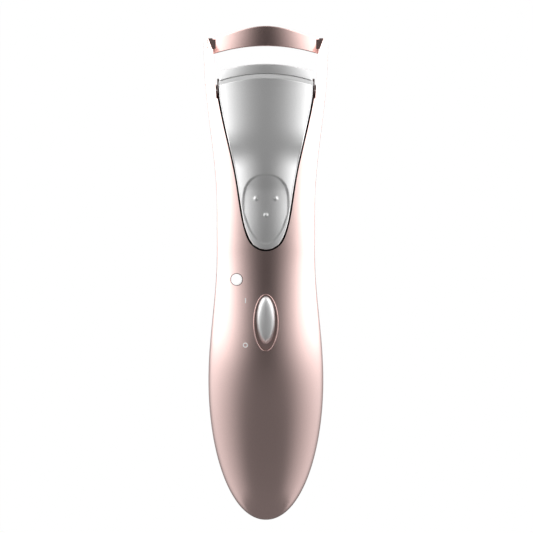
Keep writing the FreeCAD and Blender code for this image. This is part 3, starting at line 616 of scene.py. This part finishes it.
def switchKnob():
    # crowned oval: a shallow dome (1 - r^2) mixed with a steep rim (1 - r^8), and the stem behind
    sides = 128
    around = np.linspace(0, 2 * math.pi, sides, endpoint=False)
    rise = np.linspace(0, 1, 40)
    radial = np.cos(rise * math.pi / 2)
    low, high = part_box("switch_knob")
    base = low[1] + switch["knobRise"]
    x = switch["knobHalf"] * radial[:, None] * np.cos(around)
    z = switch["knobCentre"] + switch["knobHeight"] * radial[:, None] * np.sin(around)
    crown = 0.45 * (1 - radial ** 2) + 0.55 * (1 - radial ** 8)
    y = base - switch["knobRise"] * crown[:, None] + 0 * around
    points = np.stack([x, y, z], -1)
    skirt = points[:1] + np.array([0, switch["knobSkirt"], 0])
    points = np.concatenate([skirt, points], 0)
    faces = gridFaces(len(points), sides, wrap=True) + [list(range(sides))]
    points = points.reshape(-1, 3)
    stem, quads = boxMesh((-switch["stemHalf"], base, switch["knobCentre"] - switch["stemHeight"]),
                          (switch["stemHalf"], high[1], switch["knobCentre"] + switch["stemHeight"]))
    faces += (np.array(quads) + len(points)).tolist()
    satin = satinMetal("knobSatin", switch["satin"], 0.3, metallic=0.3, flakes=0.5)
    mesh = closedMesh("switchKnob", np.concatenate([points, stem]), faces)
    addPiece("switchKnob", mesh, "switch_knob", finish=satin)


lamp = {"x": -8.6 * mm, "z": 28.7 * mm, "radius": 1.7 * mm, "rim": 0.09 * mm, "crown": 0.05 * mm,
        "edgeFall": 0.06 * mm}


def lampLens():
    # shallow dome in the housing's front, with a straight barrel behind
    sides = 72
    around = np.linspace(0, 2 * math.pi, sides, endpoint=False)
    share = np.array([0, 0.35, 0.65, 0.85, 0.95, 1.0])[::-1, None]
    x = lamp["x"] + lamp["radius"] * share * np.cos(around)
    z = lamp["z"] + lamp["radius"] * share * np.sin(around)
    y = frontOf(x, z) - lamp["crown"] * (1 - share ** 6) + lamp["edgeFall"] * share ** 20
    points = np.stack([x, y, z], -1)
    back = points[:1].copy()
    back[..., 1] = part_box("lamp_lens")[1][1]
    points = np.concatenate([back, points], 0)
    faces = gridFaces(len(points), sides, wrap=True) + [list(range(sides))]
    addPiece("lampLens", closedMesh("lampLens", points, faces), "lamp_lens")


def lampShadowRim():
    # thin bead round the lens: a small circle carried round a larger one; its dark colour is painted shade for the
    # shaded edge of the lens
    around = np.linspace(0, 2 * math.pi, 97)[:, None]
    bead = np.linspace(0, 2 * math.pi, 10, endpoint=False)
    radius = lamp["radius"] + lamp["rim"] * (0.6 + np.cos(bead))
    x = lamp["x"] + radius * np.cos(around)
    z = lamp["z"] + radius * np.sin(around)
    y = frontOf(x, z) - lamp["rim"] * (0.3 + np.sin(bead))
    mesh = closedMesh("lampShadowRim", np.stack([x, y, z], -1), gridFaces(97, 10, wrap=True))
    newPiece("lampShadowRim", mesh, looks["brown_plastic"], "housing", sharp=180)


switchBezel()
switchKnob()
lampLens()
lampShadowRim()


marks = {"x": -6.0 * mm, "onHeight": 22.5 * mm, "offHeight": 9.5 * mm, "tall": 1.5 * mm, "stroke": 0.3 * mm,
         "raise": 0.02 * mm, "ink": (0.86, 0.83, 0.82), "inkDull": (0.8, 0.77, 0.76), "inkBright": (0.92, 0.9, 0.89),
         # glow and its strength: painted light, a faint glow given to the printed ink
         "glow": (0.9, 0.86, 0.85, 1), "paintedGlowStrength": 0.28}


def surfaceStrip(name, x, z, ink, wall=marks["raise"]):
    # a printed mark: a thin closed skin lying on the housing's front
    outer = np.stack([x, frontOf(x, z) - wall, z], -1)
    inner = np.stack([x, frontOf(x, z) + wall, z], -1)
    loop = np.concatenate([outer, inner[:, ::-1]], 1)
    rows, columns = loop.shape[:2]
    mesh = closedMesh(name, loop, gridFaces(rows, columns, wrap=True) + endCaps(rows, columns))
    newPiece(name, mesh, ink, "housing", sharp=0)


def printMarks():
    # "on" is a straight stroke, "off" a ring: radius within half a stroke of the middle line
    # the ink glows a little: painted light on the printed marks, which are no lamp
    look = Look("markInk", marks["ink"], Roughness=0.5, Emission_Color=marks["glow"],
                Emission_Strength=marks["paintedGlowStrength"])
    grain = look.noise(2500, 3)
    look.feed(Base_Color=look.blend(grain, marks["inkDull"], marks["inkBright"]), Roughness=grain * 0.2 + 0.4)
    stroke = np.linspace(-0.5, 0.5, 3)[None, :] * marks["stroke"]
    along = np.linspace(-0.5, 0.5, 9)[:, None] * marks["tall"]
    surfaceStrip("markOn", marks["x"] + stroke + 0 * along, marks["onHeight"] + along + 0 * stroke, look.material)
    turn = np.linspace(0, 2 * math.pi, 48)[:, None]
    ring = 0.5 * marks["tall"] + stroke - 0.5 * marks["stroke"]
    surfaceStrip("markOff", marks["x"] + ring * np.cos(turn), marks["offHeight"] + ring * np.sin(turn), look.material)


printMarks()
print("switch, lamp and marks done")

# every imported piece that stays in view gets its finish
for node, piece in frame["nodes"].items():
    for place in piece.material_slots:
        place.material = looks[slotOf[node]]


# lens in millimetres; frame is the height that the picture takes in at the object
view = {"lens": 400, "sensor": 36, "near": 0.01, "far": 20,
        "frame": 156.75 * mm, "middle": (0.18 * mm, -1 * mm, 32.5 * mm)}


def addCamera():
    # straight in front of the object, at distance = frame x lens / sensor
    data = bpy.data.cameras.new("camera")
    data.lens, data.sensor_width = view["lens"], view["sensor"]
    data.clip_start, data.clip_end = view["near"], view["far"]
    camera = bpy.data.objects.new("camera", data)
    bpy.context.scene.collection.objects.link(camera)
    middle = view["middle"]
    camera.location = (middle[0], middle[1] - view["frame"] * view["lens"] / view["sensor"], middle[2])
    camera.rotation_euler = (math.pi / 2, 0, 0)
    bpy.context.scene.camera = camera


def glowing(name, strength, paint=(0, 0, 0)):
    # white light of one strength, over paint that is black where it mustn't reflect the rest
    return Look(name, paint, Roughness=0.9, Emission_Color=(1, 1, 1, 1), Emission_Strength=strength).material


def stagePiece(name, points, faces, material):
    # a piece of the surroundings, which isn't part of the object
    mesh = bpy.data.meshes.new(name)
    mesh.from_pydata(points.reshape(-1, 3).tolist(), [], faces)
    mesh.materials.append(material)
    piece = bpy.data.objects.new(name, mesh)
    bpy.context.scene.collection.objects.link(piece)
    return piece


studio = {"floor": -0.36, "floorRadius": 3.4, "floorPaint": (0.5, 0.5, 0.5), "floorGlow": 0.9,
          "domeRadius": 3.5, "domeGlow": 1.0, "sides": 96, "rings": 33, "fill": 0.05,
          "panelRadius": 0.14, "panelTurn": 6, "panelLevels": 35, "discSides": 48,
          # brightness against azimuth in degrees off the front, and against height
          "azimuth": (6, 14, 24, 34, 46, 58, 72, 100, 126, 138, 150, 180),
          "byAzimuth": (0.03, 0.09, 0.25, 0.50, 0.92, 1.42, 1.9, 2.6, 2.7, 1.4, 0.35, 0.15),
          "height": (-0.16, -0.03, 0.0, 0.018, 0.033, 0.048, 0.07, 0.35),
          "byHeight": (0.26, 0.30, 0.36, 0.48, 0.80, 1.08, 1.2, 1.2),
          "frontFloor": (0.16, 0.13, 0.12, 0.05, 0.02, 0.02, 0.02, 0.02),
          "below": 0.16, "top": 0.75}


def lightColumn():
    # a glowing cylinder round the object: brightness = azimuth share x height share, and no less than the front's
    step = studio["panelTurn"]
    turns = np.arange(step / 2 - 180, 180, step)
    levels = np.linspace(studio["height"][0], studio["height"][-1], studio["panelLevels"])
    ring, level = np.radians(np.append(turns, turns[0]) - step / 2)[None, :], levels[:, None]
    points = studio["panelRadius"] * np.stack([np.sin(ring) + 0 * level, -np.cos(ring) + 0 * level,
                                               level / studio["panelRadius"] + 0 * ring], -1)
    look = Look("columnGlow", (0, 0, 0), Roughness=1.0, Emission_Strength=1.0)
    glow = look.add("ShaderNodeAttribute", {"attribute_name": "power"}, {}, "Fac")
    look.feed(Emission_Color=look.add("ShaderNodeCombineColor", {}, {0: glow, 1: glow, 2: glow}))
    column = stagePiece("lightColumn", points, gridFaces(len(levels), len(turns) + 1), look.material)
    middle = (levels[:-1] + levels[1:]) / 2
    power = (np.interp(middle, studio["height"], studio["byHeight"])[:, None]
             * np.interp(np.abs(turns), studio["azimuth"], studio["byAzimuth"])[None, :])
    power = np.maximum(power, np.interp(middle, studio["height"], studio["frontFloor"])[:, None])
    shade = column.data.attributes.new("power", "FLOAT", "FACE")
    shade.data.foreach_set("value", power.ravel())
    column.visible_camera = column.visible_shadow = False


def glowDisc(name, height, strength):
    # closes the column at one end
    radius, sides = studio["panelRadius"], studio["discSides"]
    turn = np.linspace(0, 2 * math.pi, sides, endpoint=False)
    circle = np.stack([radius * np.cos(turn), radius * np.sin(turn), 0 * turn + height], -1)
    disc = stagePiece(name, circle, [list(range(sides))], glowing(name, strength))
    disc.visible_camera = disc.visible_shadow = False


def addStudio():
    # floor: a disc. backdrop: a white sphere. The camera alone sees them, and the column lights the object
    sides, rings = studio["sides"], studio["rings"]
    turn = np.linspace(0, 2 * math.pi, sides, endpoint=False)
    circle = np.stack([np.cos(turn), np.sin(turn), 0 * turn], -1)
    disc = np.stack([0 * circle, studio["floorRadius"] * circle]) + np.array([0, 0, studio["floor"]])
    floor = stagePiece("floor", disc, gridFaces(2, sides, wrap=True),
                       glowing("paleFloor", studio["floorGlow"], studio["floorPaint"]))
    lift = np.linspace(-math.pi / 2, math.pi / 2, rings)[:, None]
    dome = studio["domeRadius"] * np.stack([np.cos(lift) * np.cos(turn), np.cos(lift) * np.sin(turn),
                                            np.sin(lift) + 0 * turn], -1)
    backdrop = stagePiece("backdrop", dome, gridFaces(rings, sides, wrap=True),
                          glowing("whiteBackdrop", studio["domeGlow"]))
    for piece in (floor, backdrop):
        piece.visible_diffuse = piece.visible_glossy = piece.visible_transmission = False
        piece.visible_shadow = piece.visible_volume_scatter = False
    lightColumn()
    glowDisc("underGlow", studio["height"][0], studio["below"])
    glowDisc("overGlow", studio["height"][-1], studio["top"])
    world = bpy.data.worlds.new("world")
    world.use_nodes = True
    background = world.node_tree.nodes["Background"]
    background.inputs["Color"].default_value = (1, 1, 1, 1)
    background.inputs["Strength"].default_value = studio["fill"]
    bpy.context.scene.world = world
    bpy.context.scene.view_settings.view_transform = "Standard"


addCamera()
addStudio()
print("stage done")
